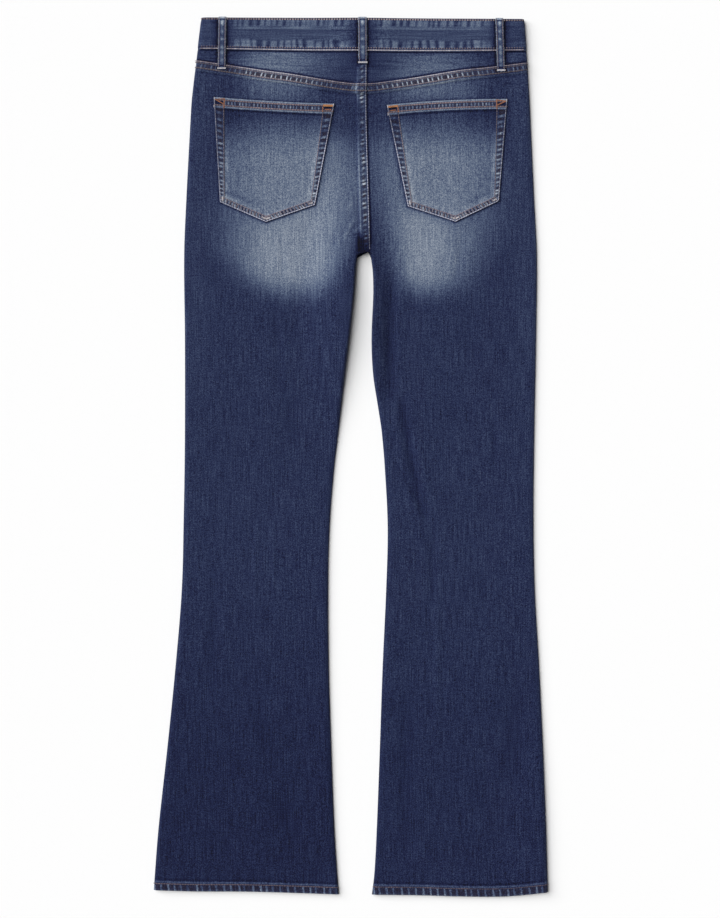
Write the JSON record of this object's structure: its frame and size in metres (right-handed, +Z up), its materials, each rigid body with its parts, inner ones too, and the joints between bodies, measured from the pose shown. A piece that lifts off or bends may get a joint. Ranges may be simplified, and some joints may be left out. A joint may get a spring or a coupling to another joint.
{
  "type": "bootcut jeans",
  "caption": "Dark indigo bootcut jeans laid flat, back side up: pointed yoke, patch pockets, belt loops and a faded seat.",
  "frame": {"origin": "middle of the jeans' outline on the surface they lie on, under the front panels", "axes": "+Y from the hems to the waist; +Z up, out of the back of the garment; -X is the wearer's left"},
  "size_m": [0.5011, 1.1165, 0.0202],
  "materials": {
    "leg_denim": "dark indigo stretch denim, slubby twill, matt",
    "front_denim": "indigo denim, lightly faded, matt",
    "yoke_denim": "indigo denim, faded, matt",
    "pocket_denim": "indigo denim, faded grey-blue with darker worn edges",
    "band_denim": "indigo denim, mottled by roping",
    "zip_tape": "dark woven zip tape",
    "button_brass": "antique brass, satin"
  },
  "bodies": {
    "root": {"back_left": "leg_denim", "back_right": "leg_denim", "yoke_left": "yoke_denim", "yoke_right": "yoke_denim", "back_pocket_left": "pocket_denim", "back_pocket_right": "pocket_denim", "front_left": "front_denim", "front_right": "front_denim", "pocket_facing_left": "leg_denim", "pocket_facing_right": "leg_denim", "waistband": "band_denim", "belt_loop_back_left": "band_denim", "belt_loop_back_centre": "band_denim", "belt_loop_back_right": "band_denim", "belt_loop_front_left": "band_denim", "belt_loop_front_right": "band_denim", "zip": "zip_tape", "fly_shield": "leg_denim", "button": "button_brass"}
  },
  "joints": []
}
